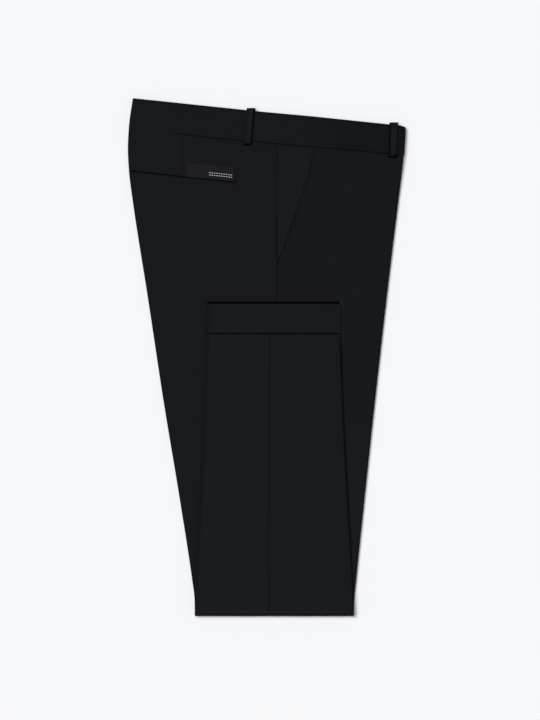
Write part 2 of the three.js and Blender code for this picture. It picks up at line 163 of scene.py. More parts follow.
UPPER_LEG = table(
    "up back front seam",
    (0, 106.6, 100.3, -10.3), (21, 106.9, 100.8, -10.3), (47, 110.0, 103.2, -10.0),
    (151, 126.0, 113.9, -7.0), (281, 147.5, 127.8, -3.0), (411, 167.2, 142.5, 0.3),
    (541, 187.5, 158.2, -0.1), (580, 192.3, 163.0, 0.7), (606, 193.6, 165.4, 0.7),
    (636, 192.2, 167.0, 0.7), (673, 187.2, 167.6, 0.7),
)
LOWER_LEG = table(
    "up back front seam",
    (0, 106.6, 100.3, -10.3), (21, 105.9, 99.2, -10.3), (83, 101.9, 95.9, -11.1),
    (200, 95.4, 88.9, -9.7), (297, 92.0, 84.6, -9.6), (352, 90.1, 82.4, -8.9),
    (407.5, 89.2, 81.6, -8.9),
)
UPPER_STACK = table(
    "up crease middle",
    (0, 4.9, 4.9), (40, 4.9, 5.1), (200, 4.9, 5.9), (411, 4.9, 6.4), (673, 5.3, 6.6),
)
LOWER_STACK = table(
    "up base crease middle leg",
    (0, 5.5, 10.4, 10.4, 2.3), (40, 5.7, 10.2, 10.8, 2.1), (200, 6.5, 10.8, 12.2, 2.0),
    (300, 6.9, 11.2, 13.2, 2.0), (367.5, 8.0, 12.5, 15.9, 2.1), (407.5, 8.0, 12.5, 15.9, 2.1),
)
POCKET_MOUTH = table(
    "up x",
    (457, 0.4), (476, 8.8), (497, 15.4), (520, 23.8), (545, 32.2), (574, 41.6), (598, 46.4),
    (616, 49.4),
)
FOLD_STACK = 4.9
FOLD_RADIUS = FOLD_STACK + GAP
FOLD_STEPS = 14
CROWN = 45
BAND_RISE = 55
RETURN = 6
SQUARE = 540

LEFT, RIGHT = 1, -1  # from a leg's outer face to its inside, in depth
BACK, FRONT = -1, 1


def clamp(value, low=0.0, high=1.0):
    return min(max(value, low), high)


def mix(a, b, t):
    return a + (b - a) * t


def bell(t):
    return exp(-(t * t))


def smooth(t):
    t = clamp(t)
    return t * t * (3 - 2 * t)


def read(rows, column, at):
    """A column of a table at some height, on a smooth curve that never overshoots."""
    ups, values = rows["up"], rows[column]
    last = len(ups) - 2
    i = int(clamp(bisect_right(ups, at) - 1, 0, last))

    def slope(k):
        return (values[k + 1] - values[k]) / (ups[k + 1] - ups[k])

    def tangent(k):
        if k in (0, last + 1):
            return slope(min(k, last))
        a, b = slope(k - 1), slope(k)
        return 0 if a * b <= 0 else 2 * a * b / (a + b)

    span = ups[i + 1] - ups[i]
    t = clamp((at - ups[i]) / span)
    p, q, m, n = values[i], values[i + 1], tangent(i) * span, tangent(i + 1) * span
    return p + t * (m + t * (3 * (q - p) - 2 * m - n + t * (2 * (p - q) + m + n)))


def crease_at(run, side, y):
    leg = LOWER_LEG if run == "lower" else UPPER_LEG
    return side * read(leg, "back" if side < 0 else "front", y)


def band_seam(x):
    """The waist seam, which hangs a little below the back pocket's end and rises to the front."""
    bow = smooth((x - 20) / 90) - 1.9 * bell((x + 70) / 75)
    return WAIST + WAIST_SLOPE * x - BAND["height"] + bow


def band_edge(x):
    """The waist edge, which rises to the front. Its front corner is rounded by wear."""
    from_corner = crease_at("upper", FRONT, WAIST) - x
    rise = 0.85 * smooth((x + 30) / 90)
    return WAIST + WAIST_SLOPE * x + rise - 1.7 * clamp(1 - from_corner / 7) ** 2


def to_band(x, y):
    return smooth(1 - (band_seam(x) - y) / BAND_RISE)


def crown(run, x, y):
    """0 at a crease and 1 away from it."""
    inside = min(x - crease_at(run, BACK, y), crease_at(run, FRONT, y) - x)
    return 1 - clamp(1 - inside / CROWN) ** 2


def droop(x):
    """Beyond the front loops the band's corner hangs down to the table."""
    return 0.9 * smooth((x - 157) / 6)


def band_top(x):
    thin = smooth((x + 190 - BAND_TUCK[BACK]) / 30) * smooth((166 - x - BAND_TUCK[FRONT]) / 30)
    return mix(BAND["crease"], BAND["middle"], thin) - droop(x)


def band_under(x):
    return BAND["under"] - droop(x)


def seam_open(x):
    """The waist seam is pressed shut over the seat and at the front corner, and open between."""
    return smooth((x + 138) / 14) * smooth((161 - x) / 4)


def upper_top(x, y):
    low, high = read(UPPER_STACK, "crease", y), read(UPPER_STACK, "middle", y)
    laid = mix(low, high, crown("upper", x, y))
    proud = BAND["proud"] * mix(0.15, 1, seam_open(x))
    return mix(laid, band_top(x) - proud, to_band(x, y))


def upper_under(x, y):
    return to_band(x, y) * (band_under(x) + BAND["proud"])


def folded_top(x, y):
    low, high = read(LOWER_STACK, "crease", y), read(LOWER_STACK, "middle", y)
    return mix(low, high, crown("lower", x, y))


# The relief of the cloth.
def swell(x, y, line, width, height):
    """A soft rise or dip along a line from x0, y0 to x1, y1."""
    x0, y0, x1, y1 = line
    dx, dy = x1 - x0, y1 - y0
    share = clamp(((x - x0) * dx + (y - y0) * dy) / (dx * dx + dy * dy))
    away = hypot(x - x0 - share * dx, y - y0 - share * dy)
    return height * bell(away / width) * sin(pi * mix(0.06, 0.94, share)) ** 0.6


def billow(x, y, size, seed):
    """Slow unevenness, from -1 to 1, over a given size in millimetres."""
    return noise.noise(Vector((x / size + seed, y / size - seed, seed)))


HIP_SWELLS = [
    # line, width, height
    ((-128, 480, -72, 402), 16, -0.34),  # a drag from the seat to the hem
    ((-96, 508, -40, 420), 22, 0.26),
    ((-60, 545, -20, 470), 18, -0.16),
    ((70, 560, 58, 470), 20, -0.24),  # the front pocket's bag falls away here
    ((92, 590, 78, 455), 15, 0.22),
    ((118, 520, 96, 418), 20, -0.18),
    ((-150, 400, -128, 250), 16, 0.2),
    ((-130, 300, -112, 120), 12, -0.18),
    ((120, 380, 112, 190), 12, 0.16),
]
SHIN_SWELLS = [
    ((-62, 366, -50, 180), 15, 0.2), ((-40, 330, -34, 120), 11, -0.2),
    ((-84, 250, -76, 60), 10, -0.14), ((26, 366, 22, 200), 14, -0.16),
    ((44, 350, 48, 90), 16, 0.18), ((68, 240, 74, 30), 12, -0.16),
    ((-8, 60, 60, 44), 14, -0.14), ((-90, 40, -30, 34), 10, 0.12),
]


DART = {"foot": 572, "x": -124.1, "lean": -0.035, "depth": 0.1, "width": 0.9, "fold": 8}


def dart_line(y):
    return DART["x"] + DART["lean"] * (y - DART["foot"])


def dart_relief(x, y):
    """A stitched tuck: a groove, with the cloth folded under it higher on the seat side."""
    away = x - dart_line(y)
    held = smooth((y - DART["foot"] + 14) / 12)
    groove = -DART["depth"] * bell(away / DART["width"])
    folded = 0.5 * smooth(1 + away / DART["fold"]) * smooth(-away / 0.8)
    return held * (groove + folded)


def hip_relief(x, y):
    """Relief of the right leg's upper face, which dies away towards creases and waistband."""
    held = smooth(crown("upper", x, y) * 1.1) * (1 - 0.8 * to_band(x, y))
    free = sum(swell(x, y, *one) for one in HIP_SWELLS)
    free += 0.22 * billow(x, y, 70, 3.1) + 0.1 * billow(x, y, 26, 8.4)
    seam_allowance = 0.16 * bell((abs(x) - 7) / 5.5) * smooth((470 - y) / 30)
    pressed_pocket = 0.14 * smooth(1 - (x + 60) / -8) * smooth((x + 185) / 10)
    pocket_bag = pressed_pocket * smooth(1 - abs(y - 535 + 0.12 * (x + 120)) / 46)
    return max(-0.42, held * (free + seam_allowance + pocket_bag)) + dart_relief(x, y)


def shin_relief(x, y):
    """Relief of the folded-up leg's top face, with the soft roll just above the knee fold."""
    held = smooth(crown("lower", x, y) * 1.1)
    free = sum(swell(x, y, *one) for one in SHIN_SWELLS)
    free += 0.2 * billow(x, y, 62, 5.7) + 0.1 * billow(x, y, 24, 1.9)
    seam = read(LOWER_LEG, "seam", y)
    seam_allowance = 0.16 * bell((abs(x - seam) - 7) / 5.5)
    roll = 0.22 * bell((y - 10) / 4.5)
    return max(-0.4, (held * (free + seam_allowance) + roll) * smooth((y - FOLD_RADIUS) / 6))


class Station:
    """One row across the legs. place() takes x and the depth inside the wrap."""

    def __init__(self, run, height, place):
        self.run, self.height, self.place = run, height, place
        self.leg_run = "lower" if run == "lower" else "upper"

    def meet(self, line):
        """x where this row meets a line that is given by height."""
        x = 0
        for _ in range(6):
            x = line(self.height(x))
        return x


def upper_station(height):
    return Station("upper", height, lambda x, depth: (x, height(x), depth))


def fold_station(turn):
    def place(x, depth):
        reach = FOLD_RADIUS - depth
        return x, FOLD_RADIUS - reach * sin(turn * pi), FOLD_RADIUS - reach * cos(turn * pi)

    return Station("fold", lambda x: 0, place)


def lower_station(y):
    def place(x, depth):
        share = clamp(1 - depth / (folded_top(x, y) - read(LOWER_STACK, "base", y)))
        return x, y, folded_top(x, y) - depth + share * shin_relief(x, y)

    return Station("lower", lambda x: y, place)


def spread(start, end, step):
    """Even values from start to end, about a step apart, with both ends."""
    count = max(1, round(abs(end - start) / step))
    return [mix(start, end, k / count) for k in range(count + 1)]


ROUNDED = [0, 0.05, 0.2, 0.45, 0.8, 1.2]  # distances from an edge that carry its rounding


def stations(step, edge_gap, waist_gap=0.06):
    """The rows from the waist down, round the knee fold and up to the turn-up."""
    made = [upper_station(lambda x, a=a: band_seam(x) - waist_gap - a) for a in ROUNDED]
    count = round((WAIST - BAND["height"] - SQUARE) / step)
    shares = [k / count for k in range(count - 1, 0, -1)]
    made += [upper_station(lambda x, s=s: mix(SQUARE, band_seam(x) - 2.6, s)) for s in shares]
    clear = FOLD_RADIUS + step / 2
    made += [upper_station(lambda x, y=y: y) for y in spread(SQUARE, clear, step)]
    made += [fold_station(k / FOLD_STEPS) for k in range(FOLD_STEPS + 1)]
    top = HEM - CUFF["height"] - edge_gap
    made += [lower_station(FOLD_RADIUS + near) for near in (0.4, 0.9)]
    made += [lower_station(y) for y in spread(clear, top - 2.4, step)]
    made += [lower_station(top - inset) for inset in reversed(ROUNDED)]
    return made


def face_depth(leg, station, x):
    y = station.height(x)
    if station.run == "upper":
        return upper_under(x, y) if leg == LEFT else upper_top(x, y) + hip_relief(x, y)
    if leg == LEFT:
        return 0
    if station.run == "fold":
        return FOLD_STACK
    return folded_top(x, y) - read(LOWER_STACK, "base", y)


def leg_thickness(station, x):
    if station.run == "lower":
        return read(LOWER_STACK, "leg", station.height(x))
    y = station.height(x)
    if station.run == "fold":
        return (FOLD_STACK - GAP) / 2
    return (upper_top(x, y) - upper_under(x, y) - GAP) / 2


def pocket_mouth(y):
    """x of the slanted mouth. Below its foot there is only the side seam, which is further out."""
    return -9 if y < POCKET_MOUTH["up"][0] else read(POCKET_MOUTH, "x", y)


def side_seam(station):
    leg = LOWER_LEG if station.run == "lower" else UPPER_LEG
    return station.meet(lambda y: read(leg, "seam", y))


def roll(inset, depth=0.62):
    """How far a turned edge has rolled down, at a distance from it."""
    return depth * (1 - sqrt(1 - (1 - clamp(inset / ROUNDED[-1])) ** 2))


def in_frame(point):
    """A point of the pressed legs, in metres in the part's own frame."""
    x, y, z = point
    return x * MM + cad_box[0][0] + BACK_REACH * MM, y * MM + cad_box[0][1], z * MM


def at_point(value, point):
    """A value that may be a function of the place."""
    return value(*point) if callable(value) else value


def cloth_lengths(points):
    """How far each of a line of points is from its start, along the cloth."""
    return list(accumulate((dist(*pair) for pair in pairwise(points)), initial=0.0))


def select_only(piece):
    bpy.ops.object.select_all(action="DESELECT")
    piece.select_set(True)
    bpy.context.view_layer.objects.active = piece


def new_piece(name, mesh):
    """A new object, left selected."""
    piece = bpy.data.objects.new(name, mesh)
    scene.collection.objects.link(piece)
    select_only(piece)
    return piece


def closed_shell(name, outer, inner, ring=False, tone_and_painted_light=1, painted_edge_shade=()):
    """A closed shell between two grids of points, with a UV map in units of 100 mm of cloth.

    The last two arguments are painted light and shade, kept at every point to multiply the cloth's
    colour: first how light the piece is painted, as a number or a function of the place, then the
    grid's edges where painted shade darkens it, each with how dark it is there and how far it
    reaches.
    """
    rows, columns = len(outer), len(outer[0])
    far = rows * columns
    points = [in_frame(p) for grid in (outer, inner) for row in grid for p in row]

    def at(i, j, side):
        return side * far + i * columns + j % columns

    faces, strips = [], columns if ring else columns - 1
    for i in range(rows - 1):
        for j in range(strips):
            corners = ((i, j), (i, j + 1), (i + 1, j + 1), (i + 1, j))
            faces += [[at(*corner, side) for corner in corners] for side in (0, 1)]
    rims = [((i, j), (i, j + 1)) for i in (0, rows - 1) for j in range(strips)]
    if not ring:
        rims += [((i, j), (i + 1, j)) for i in range(rows - 1) for j in (0, columns - 1)]
    faces += [(at(*a, 0), at(*a, 1), at(*b, 1), at(*b, 0)) for a, b in rims]
    mesh = bpy.data.meshes.new(name)
    mesh.from_pydata(points, [], faces)
    mesh.update()
    along = cloth_lengths([row[columns // 2] for row in outer])
    across = [cloth_lengths(row) for row in outer]
    cloth_map = mesh.uv_layers.new(name="cloth_map")
    for face in mesh.polygons:
        wraps = ring and len({v % columns for v in face.vertices} & {0, columns - 1}) == 2
        for loop in face.loop_indices:
            i, j = divmod(mesh.loops[loop].vertex_index % far, columns)
            u = across[i][j]
            if wraps and j == 0:
                u = across[i][-1] + dist(outer[i][0], outer[i][-1])
            cloth_map.data[loop].uv = (u / 100, along[i] / 100)
    # Painted light and shade at each point: painted lightness, darkened by painted shade at edges.
    painted_light_and_shade = mesh.attributes.new("painted_light_and_shade", "FLOAT", "POINT")
    for i in range(rows):
        for j in range(columns):
            away = {"start": along[i], "end": along[-1] - along[i], "first": across[i][j]}
            away["last"] = across[i][-1] - across[i][j]
            value = at_point(tone_and_painted_light, outer[i][j])
            for edge, dark, reach in painted_edge_shade:
                faded = smooth((away[edge] / reach - 0.25) / 0.75)
                value *= 1 - at_point(dark, outer[i][j]) * (1 - faded)
            for side in (0, 1):
                painted_light_and_shade.data[at(i, j, side)].value = value
    # The shells are closed, so the sign of the volume says which way the faces point.
    turned = bmesh.new()
    turned.from_mesh(mesh)
    bmesh.ops.recalc_face_normals(turned, faces=turned.faces)
    if turned.calc_volume(signed=True) < 0:
        bmesh.ops.reverse_faces(turned, faces=turned.faces)
    turned.to_mesh(mesh)
    turned.free()
    piece = new_piece(name, mesh)
    bpy.ops.object.shade_smooth_by_angle(angle=radians(48))
    return piece


# --- Twill
# Fine cotton twill, dyed near-black with a cold cast, brushed a little and pressed flat. It takes
# the light without a gloss. Its ribs are really 0.5 mm apart and are drawn at 2 mm, so that they
# just show. Its colour carries painted light and shade from each point: painted shade where the
# cloth rolls into a seam or lies beside a raised edge, painted highlights, and each piece painted
# lighter or darker.

TWILL_RIB = 2


def on_cloth(material):
    """Where a piece's UV map says that a point of the cloth is, in millimetres."""
    cloth_map = node(material, "UVMap", uv_map="cloth_map").outputs[0]
    in_mm = node(material, "Mapping", {"Scale": (100, 100, 100)}, {"Vector": cloth_map})
    return {"Vector": in_mm.outputs[0]}


twill = new_material("brushed_cotton_twill")
cloth_place = on_cloth(twill)
rib_scale = 2 * pi / (10 * TWILL_RIB * sqrt(2))
ribs = node(
    twill,
    "TexWave",
    {"Scale": rib_scale, "Distortion": 0.5, "Detail": 1, "Detail Scale": 0.6},
    cloth_place,
    wave_type="BANDS",
    bands_direction="DIAGONAL",
)
yarn = node(
    twill, "TexNoise", {"Scale": 0.6, "Detail": 4, "Roughness": 0.7}, cloth_place
).outputs["Fac"]
wear = node(twill, "TexNoise", {"Scale": 0.016, "Detail": 2}, cloth_place)
dye = between(twill, "#14161a", "#17181d", wear.outputs["Fac"])
fleck_range = {"From Min": 0.5, "From Max": 0.85, "To Max": 0.5}
fleck_amount = node(twill, "MapRange", fleck_range, {"Value": yarn})
fleck = node(
    twill,
    "Mix",
    {7: linear("#1d2025")},
    {"Factor": fleck_amount.outputs[0], 6: dye},
    data_type="RGBA",
)
# Painted light: the dyed colour is multiplied by each point's painted light and shade.
painted_light_and_shade = node(twill, "Attribute", attribute_name="painted_light_and_shade")
colour = node(
    twill,
    "Mix",
    {"Factor": 1},
    {6: fleck.outputs[2], 7: painted_light_and_shade.outputs["Color"]},
    data_type="RGBA",
    blend_type="MULTIPLY",
)
weave = node(twill, "Math", {1: 0.6}, {0: ribs.outputs["Fac"]}, operation="MULTIPLY")
relief = node(twill, "Math", links={0: weave.outputs[0], 1: yarn}, operation="ADD")
raised = node(
    twill, "Bump", {"Strength": 0.35, "Distance": 0.12 * MM}, {"Height": relief.outputs[0]}
)
dull = node(twill, "MapRange", {"To Min": 0.84, "To Max": 0.95}, {"Value": yarn})
shade(
    twill,
    {"Specular IOR Level": 0.02, "Sheen Weight": 0.008, "Sheen Roughness": 0.5},
    {"Base Color": colour.outputs[2], "Roughness": dull.outputs[0], "Normal": raised.outputs[0]},
)


def finish(piece, material, slot, *nodes):
    """Give a piece its finish and let it stand for its solids."""
    piece.data.materials.append(material)
    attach(piece, "root")
    if nodes:
        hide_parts(*nodes)


# --- Leg panels
# Two backs and two fronts of twill, seamed at the side and pressed on the creases. The seams are
# pressed open, so each edge rolls down into its seam. The right front is cut away along the
# slanted pocket mouth, where its edge is turned, and the right back has a dart above its pocket.

PANEL_STEP = 4.0
SEAM_GAP = 0.05
TURN_STEPS = 8
ACROSS = {BACK: 44, FRONT: 36}  # columns over a panel's face
# How light each panel is painted, as painted light: the backs, on the side the light comes from,
# lighter than the fronts. The folded-up leg's panels are lighter than the thigh's.
PANEL_PAINTED_LIGHT = {(RIGHT, BACK): 0.98, (RIGHT, FRONT): 0.94, (LEFT, BACK): 1.1, (LEFT, FRONT): 1.02}
NEAR_DART = (4, 2.2, 1.1, 0.5, 0, -0.5, -1.1, -1.9, -3.5, -6)  # columns close to the dart


def beside_fold(x, y):
    """Painted light and shade by the folded leg's two edges, where they lie on the thigh.

    Painted shade darkens a band along the back edge. Painted light lifts the shadow beside the
    front edge, at turn-up and knee.
    """
    if y > HEM + 2:
        return 1
    from_back = x - crease_at("lower", BACK, y)
    from_front = x - crease_at("lower", FRONT, y)
    # Painted light that lifts the shade beside the front edge.
    painted_lift = 1.3 * smooth((y - 345) / 22) + 0.4 * smooth((112 - y) / 40)
    painted_lift *= smooth(from_front + 0.9) * bell((from_front - 0.6) / 1.9)
    # Painted shade along the back edge.
    laid = mix(0.12, 0.28, smooth((y - 340) / 20)) * bell((from_back + 1.4) / 2.4)
    return (1 + painted_lift) * (1 - laid)


def right_back_painted_light(x, y, z):
    """The right back's painted light: a painted highlight on the dart's fold, painted shade beyond
    it.
    """
    away = x - dart_line(y)
    held = smooth((y - DART["foot"] + 14) / 12)
    lit = 0.12 * smooth(1 + away / DART["fold"]) if away < 0 else -0.05 * smooth(1 - away / 7)
    return PANEL_PAINTED_LIGHT[RIGHT, BACK] * (1 + held * lit) * beside_fold(x, y)


def right_front_painted_light(x, y, z):
    """The right front's painted light, lifting the shade on the thigh beside the folded leg."""
    beyond = smooth((x - crease_at("lower", FRONT, y)) / 3) * smooth((y - 30) / 50)
    lit = 0.13 * smooth((262 - y) / 30) + 0.15 * bell((y - 144) / 20)
    return PANEL_PAINTED_LIGHT[RIGHT, FRONT] * (1 + beyond * lit) * beside_fold(x, y)


def shin_painted_light(side):
    """The left leg's painted light. A painted highlight and dark line run just inside the knee
    fold.
    """

    def tone_and_painted_light(x, y, z):
        inside = min(x - crease_at("lower", BACK, y), crease_at("lower", FRONT, y) - x)
        lit = 0.6 * bell((y - 5.4) / 0.65) - 0.26 * bell((y - 3.3) / 1.2)
        knee = 1 + lit * smooth((inside - 8) / 14)
        on_top = z > FOLD_RADIUS  # and not on the underside, below the thighs
        return PANEL_PAINTED_LIGHT[LEFT, side] * knee * (beside_fold(x, y) if on_top else 1)

    return tone_and_painted_light


# Painted shade in the waist seam, where it is open.
def waist_seam_painted_shade(x, y, z):
    return 0.52 * seam_open(x)


def side_seam_depth(y):
    """The side seam's groove is slight towards the waistband, where the facing is sewn flat."""
    return mix(1, 0.2, smooth((y - 510) / 24))


def side_seam_painted_shade(x, y, z):
    """Painted shade in the side seam, darkest beside the pocket's foot."""
    return mix(0.4, 0.75, smooth((y - 462) / 12)) * mix(1, 0.1, smooth((y - 512) / 20))


# Soft painted shade beside the side seam, towards the waistband.
def side_seam_soft_painted_shade(x, y, z):
    return 0.11 * smooth((y - 572) / 8)


def mouth_painted_shade(x, y, z):
    """Painted shade along the pocket's turned edge, in beads between its pick stitches."""
    beads = 0.5 + 0.5 * sin(y * 0.42) * sin(y * 0.117 + 1)
    return mix(0.2, 0.62, beads) * mix(1, 0.6, smooth((y - 545) / 30))


def beside_mouth_painted_shade(x, y, z):
    """Soft painted shade on the front beside the lower half of the pocket's mouth."""
    return 0.12 * smooth((y - 480) / 20) * smooth((545 - y) / 20)


# Painted shade along the right front's edge: the pocket's mouth, and below it the side seam.
def front_edge_painted_shade(x, y, z):
    return mouth_painted_shade(x, y, z) if y > POCKET_MOUTH["up"][0] else side_seam_painted_shade(x, y, z)


def round_crease(turn_x, middle, reaches, side, leg, tuck):
    """Pairs of points that take an outer and an inner face round a crease and back inside."""
    arc = []
    for k in range(TURN_STEPS + 1):
        out, down = side * sin(k / TURN_STEPS * pi), -leg * cos(k / TURN_STEPS * pi)
        arc.append([(turn_x + reach * out, middle + reach * down) for reach in reaches])
    for x in (turn_x - side * tuck / 2, turn_x - side * tuck):
        arc.append([(x, middle + leg * reach) for reach in reaches])
    return arc


def panel_row(station, leg, side, end_roll):
    crease = station.meet(lambda y: crease_at(station.leg_run, side, y))
    radius = leg_thickness(station, crease) / 2
    face = face_depth(leg, station, crease)
    turn_x, turn_depth = crease - side * radius, face + leg * radius
    edge = side_seam(station) + side * SEAM_GAP
    if leg == RIGHT and side == FRONT and station.run == "upper":
        edge = max(edge, station.meet(pocket_mouth) + SEAM_GAP)
    rounding = [edge + side * inset for inset in ROUNDED]
    count = ACROSS[side]
    body = [mix(rounding[-1], turn_x, k / count) for k in range(1, count + 1)]
    if leg == RIGHT and side == BACK:
        y = station.height(DART["x"])
        middle = dart_line(y) if station.run == "upper" and y > 540 else 0.665 * turn_x
        body = [mix(rounding[-1], middle + NEAR_DART[0], k / 28) for k in range(1, 28)]
        body += [middle + near for near in NEAR_DART]
        body += [mix(middle + NEAR_DART[-1], turn_x, k / 14) for k in range(1, 15)]
    open_mouth = leg == RIGHT and side == FRONT and edge > side_seam(station) + 1
    upper = station.run == "upper" and not open_mouth
    side_depth = side_seam_depth(station.height(edge)) if upper else 1
    pairs = []
    for x in rounding + body:
        depth = face_depth(leg, station, x)
        end = end_roll * (seam_open(x) if station.run == "upper" else 1)
        rolled = max(side_depth * roll(abs(x - edge)), end)
        pairs.append(((x, depth + leg * rolled), (x, depth + leg * WALL)))
    pairs += round_crease(turn_x, turn_depth, (radius, radius - WALL), side, leg, RETURN)[1:]
    return [[station.place(*pair[k]) for pair in pairs] for k in (0, 1)]


def leg_panel(name, leg, side):
    """A panel from the waistband seam to the turn-up, where its two ends roll down."""
    rows = stations(PANEL_STEP, 0.06)
    end_rolls = [roll(inset, 0.5) for inset in ROUNDED]
    end_rolls += [0] * (len(rows) - 2 * len(ROUNDED)) + end_rolls[::-1]
    grids = [panel_row(station, leg, side, rolled) for station, rolled in zip(rows, end_rolls)]
    # Painted shade along the panel's edges: the waist seam, the turn-up end, the side seam or
    # mouth.
    side_painted_shade = {(RIGHT, FRONT): front_edge_painted_shade, (RIGHT, BACK): side_seam_painted_shade}
    painted_edge_shade = [("start", waist_seam_painted_shade, 1.7), ("end", 0.95, 1.7)]
    painted_edge_shade.append(("first", side_painted_shade.get((leg, side), 0.42), 1.2))
    if leg == RIGHT:
        painted_edge_shade.append(("first", side_seam_soft_painted_shade, 3.2))
        painted_edge_shade.append(("first", beside_mouth_painted_shade if side == FRONT else 0, 11))
    # Painted shade along the crease, darkest where the folded leg's lies beside the back of the
    # thigh.
    painted_edge_shade.append(("last", 0.85, 12) if (leg, side) == (LEFT, BACK) else ("last", 0.45, 12.5))
    panel_painted_light = {(RIGHT, BACK): right_back_painted_light, (RIGHT, FRONT): right_front_painted_light}
    tone_and_painted_light = panel_painted_light.get((leg, side), shin_painted_light(side))
    return closed_shell(name, *zip(*grids), tone_and_painted_light=tone_and_painted_light, painted_edge_shade=painted_edge_shade)


panels = {}
for leg, leg_name, rests_on in ((RIGHT, "right", "hidden_layers"), (LEFT, "left", "table_top")):
    for side, side_name, width, area in ((BACK, "back", 0.21, 0.13), (FRONT, "front", 0.19, 0.12)):
        panel_name = f"{leg_name}_{side_name}"
        panel = panels[leg, side] = leg_panel(panel_name + "_panel", leg, side)
        finish(panel, twill, "cloth", panel_name)

# --- Side pocket
# The cloth behind the slanted mouth is a facing of the same twill. The mouth's turned edge is
# held by hand-look pick stitches, with a bar tack across each end.

FACING_DROP = 0.5


def on_hip(x, y, height):
    """A point over the right leg's upper face, so what lies on the panel follows it."""
    return x, y, upper_top(x, y) + hip_relief(x, y) + height


facing_rows = []
for station in stations(3, 0.06):
    if station.run == "upper" and station.height(0) > POCKET_MOUTH["up"][0] + 2:
        left, right = side_seam(station) + SEAM_GAP, station.meet(pocket_mouth) - SEAM_GAP
        row = [left + inset * min(1, (right - left) / 4) for inset in ROUNDED]
        row += [mix(row[-1], right, k / 14) for k in range(1, 15)]
        depth = side_seam_depth(station.height(left))
        facing_rows.append([(x, station.height(x), depth * roll(x - left)) for x in row])
for k, inset in enumerate(ROUNDED):
    facing_rows[k] = [(x, y, max(rolled, roll(inset, 0.4))) for x, y, rolled in facing_rows[k]]
# The facing has painted shade along the waist seam, the side seam and the pocket's mouth.
facing = closed_shell(
    "side_pocket_facing",
    [[on_hip(x, y, -FACING_DROP - rolled) for x, y, rolled in row] for row in facing_rows],
    [[on_hip(x, y, -FACING_DROP - WALL) for x, y, rolled in row] for row in facing_rows],
    tone_and_painted_light=1.08,
    painted_edge_shade=[
        ("start", waist_seam_painted_shade, 1.7),
        ("first", side_seam_painted_shade, 1.2),
        ("first", side_seam_soft_painted_shade, 3.2),
        ("last", mouth_painted_shade, 2.4),
    ],
)
finish(facing, twill, "cloth", "pocket_facing")


def thread_material(name, twists, tones, roughness, gloss):
    """Twisted thread in two tones, with a given number of twists to a metre."""
    made = new_material(name)
    place = node(made, "TexCoord").outputs["Object"]
    twist = node(made, "TexNoise", {"Scale": twists, "Detail": 2}, {"Vector": place})
    tone = between(made, *tones, twist.outputs["Fac"])
    shade(made, {"Roughness": roughness, "Specular IOR Level": gloss}, {"Base Color": tone})
    return made


# Polyester thread in the cloth's own colour, with a faint gloss.
thread = thread_material("black_polyester_thread", 2500, ("#08090b", "#15171b"), 0.6, 0.08)

# One stitch: a bead of thread, 1 mm long and wide, which each row of stitches copies.
bpy.ops.mesh.primitive_uv_sphere_add(segments=8, ring_count=6, radius=0.5)
bead = bpy.context.object
bead_points = [v.co.copy() for v in bead.data.vertices]
bead_faces = [tuple(face.vertices) for face in bead.data.polygons]
bpy.data.objects.remove(bead)


def stitches(name, spots, length, width, height, material):
    """Stitches at spots of x, y, z and the angle that they run at."""
    points, faces = [], []
    for x, y, z, angle in spots:
        first = len(points)
        for p in bead_points:
            along, across = p.x * length, p.y * width
            turned_x = along * cos(angle) - across * sin(angle)
            turned_y = along * sin(angle) + across * cos(angle)
            points.append(in_frame((x + turned_x, y + turned_y, z + p.z * height)))
        faces += [tuple(first + k for k in face) for face in bead_faces]
    mesh = bpy.data.meshes.new(name)
    mesh.from_pydata(points, [], faces)
    mesh.materials.append(material)
    piece = new_piece(name, mesh)
    bpy.ops.object.shade_smooth()
    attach(piece, "root")
    return piece


def direction(line, y):
    """The angle that a line given by height runs at."""
    return pi / 2 - (line(y + 1) - line(y - 1)) / 2


PICK_SPACING = 5
pick_spots = []
y = POCKET_MOUTH["up"][0] + 16
while y < band_seam(50) - 4:
    lean = direction(pocket_mouth, y)
    x = pocket_mouth(y) + 2.1 * sin(lean)
    pick_spots.append((*on_hip(x, y, 0.02), lean))
    y += PICK_SPACING * sin(lean)
stitches("side_pocket_pick_stitches", pick_spots, 1.3, 0.5, 0.4, thread)


def bar_tack(name, x, y, z_of, length, width, angle):
    """A bar of close stitches: threads laid side by side across its length."""
    spots = []
    for k in range(round(length / 0.55)):
        along = (k + 0.5) * 0.55 - length / 2
        px, py = x + along * cos(angle), y + along * sin(angle)
        spots.append((px, py, z_of(px, py), angle + pi / 2 + 0.12 * (-1) ** k))
    return stitches(name, spots, width, 0.62, 0.75, thread)


def over_hip(x, y):
    return on_hip(x, y, 0.1)[2]


UPPER_TACK, LOWER_TACK = 573.5, 465
lean = direction(pocket_mouth, UPPER_TACK)
tack_x = pocket_mouth(UPPER_TACK) + 0.6
bar_tack("side_pocket_upper_tack", tack_x, UPPER_TACK, over_hip, 10, 2.2, lean)
bar_tack("side_pocket_lower_tack", 2.6, LOWER_TACK, over_hip, 8, 2, radians(74))

# --- Back pocket
# A jetted pocket: a slot is cut in the right back, and its two edges are bound with narrow strips
# of twill that meet at the mouth. A bar tack closes its outer end.

POCKET = {"end": -53.6, "length": 136, "drop": 95.2, "slope": -0.119, "mouth": 0.7}
LOWER_JET, UPPER_JET = 7.5, 5.5
LAID_STEP = 2.5


def pocket_line(x):
    """The pocket's mouth, which sags a little towards the seat."""
    at_end = WAIST - POCKET["drop"] + WAIST_SLOPE * POCKET["end"]
    sag = 1.3 * smooth((-66 - x) / 60)
    return at_end + POCKET["slope"] * (x - POCKET["end"]) - sag


